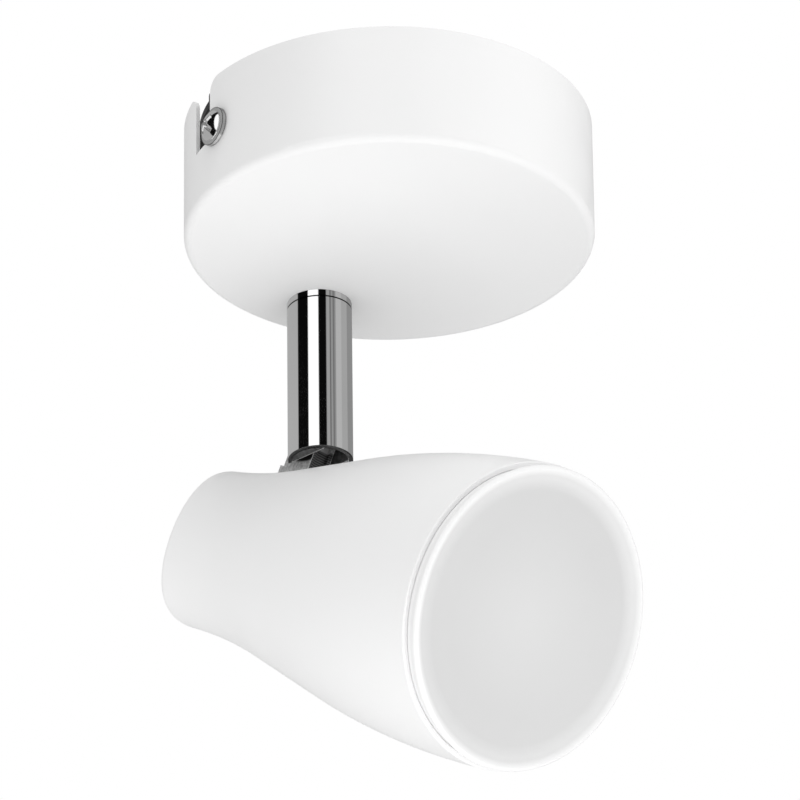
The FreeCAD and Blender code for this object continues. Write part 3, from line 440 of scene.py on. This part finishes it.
def dress_nodes():
    """Give every CAD node that shows its material."""
    assign(white_paint("canopy_paint", level=0.80), "canopy_cup")
    # The head's white is the canopy's white made lighter, painted light that lifts the head's
    # shading.
    assign(white_paint("head_paint_painted_light", level=0.834), "head_housing")
    assign(chrome(), "stem_collar", "stem_tube")
    assign(dark_steel(), "mounting_bracket")
    assign(plated_steel("zinc_plated", level=0.55, rough=0.3),
           "pan_washer", "spring_washer", "stem_nut", "tongue_washer", "tongue_nut",
           "earth_washer", "friction_washers", "stem_nipple")
    # Painted shade: the side screws' and their washers' edges are painted near black.
    assign(plated_steel("bright_steel", level=0.85, rough=0.08, edge=grey(0.02), reach_mm=0.28),
           "canopy_side_screws")
    assign(plated_steel("washer_steel", level=0.66, rough=0.14, edge=grey(0.02), reach_mm=0.4),
           "side_screw_washers")
    assign(plated_steel("screw_steel", level=0.6, rough=0.2),
           "terminal_screws", "terminal_fixing_screws", "earth_screw", "board_screws",
           "pivot_screw")
    assign(fork_casting(), "swivel_fork")
    assign(tongue_casting(), "swivel_tongue")
    assign(brass(), "terminal_inserts", "stem_bush")
    assign(plastic("terminal_plastic", grey(0.72), grey(0.78), rough=0.4), "terminal_block")
    assign(plastic("driver_plastic", grey(0.6), grey(0.66), rough=0.45), "led_driver_case")
    assign(plastic("pad_foam", grey(0.03), grey(0.06), rough=0.9), "driver_pad")
    assign(plated_steel("bare_aluminium", level=0.62, rough=0.4), "heat_sink")
    assign(plastic("board_white", grey(0.75), grey(0.8), rough=0.35), "led_board")
    assign(plastic("chip_phosphor", (0.75, 0.6, 0.08), (0.85, 0.7, 0.12), rough=0.4),
           "led_chips")
    assign(plastic("reflector_plastic", grey(0.82), grey(0.85), rough=0.2), "reflector")


# The photograph's stem mirrors the studio alone, not the cup above it, its screws or what
# it holds.
UNMIRRORED = (
    "canopy_cup", "canopy_side_screws", "side_screw_washers", "mounting_bracket",
    "terminal_block", "terminal_inserts", "terminal_screws", "terminal_fixing_screws",
    "earth_screw", "earth_washer", "led_driver_case", "driver_pad", "pan_washer",
    "spring_washer", "stem_nut", "stem_nipple",
)


def clear_reflections():
    """Keep the canopy's pieces out of what the polished metal mirrors."""
    for name in UNMIRRORED:
        NODES[name].visible_glossy = False


# ------------------------------------------------------------------ lens

# The lens is turned from one smooth section: place along the head's axis and radius, mm.
LENS_BACK = 67.25
LENS_INNER_RADIUS = 26.95
LENS_SKIRT_RADIUS = 28.35
LENS_FOOT = 72.35
LENS_TOP = 75.44
LENS_RIM_RADIUS = 29.18
LENS_EDGE_ROUND = 0.8
LENS_CREASE = (74.35, 25.8)
LENS_CREASE_BLEND = 1.5
LENS_MIDDLE = 73.85
LENS_INSIDE = 71.85

# How finely it is turned, and which corners stay sharp, in degrees.
LENS_EDGE_STEPS = 8
LENS_CREASE_STEPS = 12
LENS_DISH_STEPS = 12
LENS_TURN_STEPS = 256
LENS_SHARP_ANGLE = 35


def shares(steps):
    """The way from 1 to 0 in equal steps, both ends included."""
    return [1 - step / steps for step in range(steps + 1)]


def lens_skirt():
    """From the middle of the inside round the skirt to the foot of the rim."""
    return [(LENS_INSIDE, 0), (LENS_INSIDE, LENS_INNER_RADIUS), (LENS_BACK, LENS_INNER_RADIUS),
            (LENS_BACK, LENS_SKIRT_RADIUS), (LENS_FOOT, LENS_SKIRT_RADIUS)]


def lens_edge():
    """The rounded edge between the rim's side and its front."""
    points = []
    for share in shares(LENS_EDGE_STEPS):
        angle = math.radians(90 * share)
        points.append((LENS_TOP - LENS_EDGE_ROUND + LENS_EDGE_ROUND * math.cos(angle),
                       LENS_RIM_RADIUS - LENS_EDGE_ROUND + LENS_EDGE_ROUND * math.sin(angle)))
    return points


def lens_crease():
    """The soft crease where the rim's slope turns into the dish."""
    place, radius = LENS_CREASE
    slope = (LENS_TOP - place) / (LENS_RIM_RADIUS - LENS_EDGE_ROUND - radius)
    return [(place + slope * LENS_CREASE_BLEND * share ** 2,
             radius + LENS_CREASE_BLEND * (2 * share - 1)) for share in shares(LENS_CREASE_STEPS)]


def lens_dish():
    """The shallow dish from the crease's end, left out here, to the middle."""
    place, radius = LENS_CREASE
    return [(LENS_MIDDLE + (place - LENS_MIDDLE) * share ** 2,
             (radius - LENS_CREASE_BLEND) * share) for share in shares(LENS_DISH_STEPS)[1:]]


def turned_corners(section, steps):
    """Each point of a section as a ring about X, but its two ends, on that axis, as one."""
    corners = [(section[0][0] * MM, 0, 0)]
    for place, radius in section[1:-1]:
        for step in range(steps):
            angle = math.tau * step / steps
            corners.append((place * MM, radius * MM * math.sin(angle),
                            radius * MM * math.cos(angle)))
    corners.append((section[-1][0] * MM, 0, 0))
    return corners


def turned_faces(last, steps):
    """The faces between the corners 0 to last of a turned section: they face outwards."""
    faces = []
    for step in range(steps):
        after = (step + 1) % steps
        strip = [(ring + step, ring + after) for ring in range(1, last, steps)]
        faces.append((0, *strip[0]))
        faces += [(right, left, next_left, next_right)
                  for (left, right), (next_left, next_right) in zip(strip, strip[1:])]
        faces.append((last, *reversed(strip[-1])))
    return faces


def lens_mesh():
    """The section turned about the head's axis, in its place on the head."""
    section = lens_skirt() + lens_edge() + lens_crease() + lens_dish()
    corners = turned_corners(section, LENS_TURN_STEPS)
    faces = turned_faces(len(corners) - 1, LENS_TURN_STEPS)
    mesh = bpy.data.meshes.new("lens")
    mesh.from_pydata(corners, [], faces, shade_flat=False)
    head = Matrix.Translation(PIVOT) @ own_turn(HEAD_PITCH).to_4x4()
    mesh.transform(head @ Matrix.Translation((0, 0, -AXIS_DROP)))
    mesh.set_sharp_from_angle(angle=math.radians(LENS_SHARP_ANGLE))
    return mesh


def make_lens():
    """The smooth lens that stands for the CAD one."""
    mesh = lens_mesh()
    lens = add_object("lens", mesh)
    mesh.materials.append(frosted_lens())
    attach(lens, "head")
    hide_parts("diffuser_lens")


# ------------------------------------------------------------------ light and stage

# What polished metal sees around it, by compass angle in degrees: soft boxes with black
# flags between them. Each step is (where it starts, brightness).
STUDIO_STEPS = (
    (-180.0, 0.003), (-164.5, 1.15), (-127.5, 0.003), (-99.5, 0.34), (-87.0, 0.12),
    (-83.0, 0.30), (-75.0, 0.14), (-71.0, 0.26), (-64.0, 0.46), (-40.0, 0.38),
    (-10.0, 0.27), (56.0, 0.42), (153.0, 0.003),
)
STEP_BLUR = 1.2
SOFT_LIGHT = 0.87

# Each lamp's place to the right of the object, above it and towards the camera, as the
# photograph is seen, with its size, all in metres, and its power in watts.
LAMPS = {
    "key": ((1.01, -1.52, 0.81), 1.2, 12.5),
    "top": ((0.20, 1.82, 0.81), 1.2, 12.0),
    "low": ((-0.12, -0.40, 0.08), 0.3, 0.38),
    "side": ((1.70, 0.55, 0.35), 1.0, 3.5),
}
FLOOR_LEVEL = -2.4
FLOOR_SIZE = 9.0


def compass_share(tree):
    """How far round a ray points, from 0 at -180 degrees to 1 at 180 degrees."""
    ray = tree.nodes.new("ShaderNodeTexCoord")
    parts = tree.nodes.new("ShaderNodeSeparateXYZ")
    turn = tree.nodes.new("ShaderNodeMath")
    turn.operation = "ARCTAN2"
    share = tree.nodes.new("ShaderNodeMapRange")
    share.inputs["From Min"].default_value = -math.pi
    share.inputs["From Max"].default_value = math.pi
    tree.links.new(ray.outputs["Generated"], parts.inputs[0])
    tree.links.new(parts.outputs["Y"], turn.inputs[0])
    tree.links.new(parts.outputs["X"], turn.inputs[1])
    tree.links.new(turn.outputs[0], share.inputs["Value"])
    return share.outputs["Result"]


def studio_bands(tree):
    """Brightness by compass angle, with each step blurred a little."""
    ramp = tree.nodes.new("ShaderNodeValToRGB")
    tree.links.new(compass_share(tree), ramp.inputs["Fac"])
    stops = ramp.color_ramp.elements
    stops.remove(stops[1])
    stops[0].position = 0
    stops[0].color = (*grey(STUDIO_STEPS[0][1]), 1)
    for (_, before), (angle, after) in zip(STUDIO_STEPS, STUDIO_STEPS[1:]):
        for shift, level in ((-STEP_BLUR, before), (STEP_BLUR, after)):
            stop = stops.new((angle + shift + 180) / 360)
            stop.color = (*grey(level), 1)
    return ramp.outputs["Color"]


def background(tree, strength=1.0):
    """A white background shader."""
    node = tree.nodes.new("ShaderNodeBackground")
    node.inputs["Color"].default_value = (1, 1, 1, 1)
    node.inputs["Strength"].default_value = strength
    return node


def switch(tree, picked, others, chosen):
    """One shader for the picked rays, and another for the others."""
    node = tree.nodes.new("ShaderNodeMixShader")
    tree.links.new(picked, node.inputs[0])
    tree.links.new(others.outputs[0], node.inputs[1])
    tree.links.new(chosen.outputs[0], node.inputs[2])
    return node


def make_world():
    """White for the camera, the studio's bands for mirrors and soft light for the rest."""
    world = bpy.data.worlds.new("studio")
    SCENE.world = world
    world.use_nodes = True
    tree = world.node_tree
    tree.nodes.clear()
    output = tree.nodes.new("ShaderNodeOutputWorld")
    rays = tree.nodes.new("ShaderNodeLightPath").outputs
    bands = background(tree)
    tree.links.new(studio_bands(tree), bands.inputs["Color"])
    soft = background(tree, SOFT_LIGHT)
    shiny = switch(tree, rays["Is Glossy Ray"], others=soft, chosen=bands)
    seen = switch(tree, rays["Is Camera Ray"], others=shiny, chosen=background(tree))
    tree.links.new(seen.outputs[0], output.inputs["Surface"])


def make_lamp(name, place, size, power):
    """A soft box aimed at the middle of the object, which neither camera nor mirror sees."""
    right, up, near = place
    place = rotation(VIEW_AZIMUTH, "Z") @ Vector((right, -near, up))
    way = Vector(VIEW_TARGET) - place
    data = bpy.data.lights.new(name, "AREA")
    data.size = size
    data.energy = power
    lamp = add_object(name, data)
    aim = way.to_track_quat("-Z", "Y").to_matrix().to_4x4()
    lamp.matrix_world = Matrix.Translation(place) @ aim
    lamp.visible_camera = False
    lamp.visible_glossy = False


def make_floor():
    """The studio's pale floor far below, kept out of mirror reflections."""
    half = FLOOR_SIZE / 2
    corners = ((-half, -half), (half, -half), (half, half), (-half, half))
    mesh = bpy.data.meshes.new("floor")
    mesh.from_pydata([(x, y, FLOOR_LEVEL) for x, y in corners], [], [(0, 1, 2, 3)])
    shader = Shader("floor_paint")
    shader.colour(shader.mottled(grey(0.84), grey(0.86), scale=3))
    shader.sheen(low=0.7, high=0.8, scale=12)
    shader.relief(strength=0.1, depth_mm=1.0, scale=40)
    mesh.materials.append(shader.material)
    floor = add_object("floor", mesh)
    floor.visible_glossy = False


SCENE.view_settings.view_transform = "Standard"
make_camera()
dress_nodes()
clear_reflections()
make_lens()
make_world()
for lamp_name, lamp_values in LAMPS.items():
    make_lamp(lamp_name, *lamp_values)
make_floor()
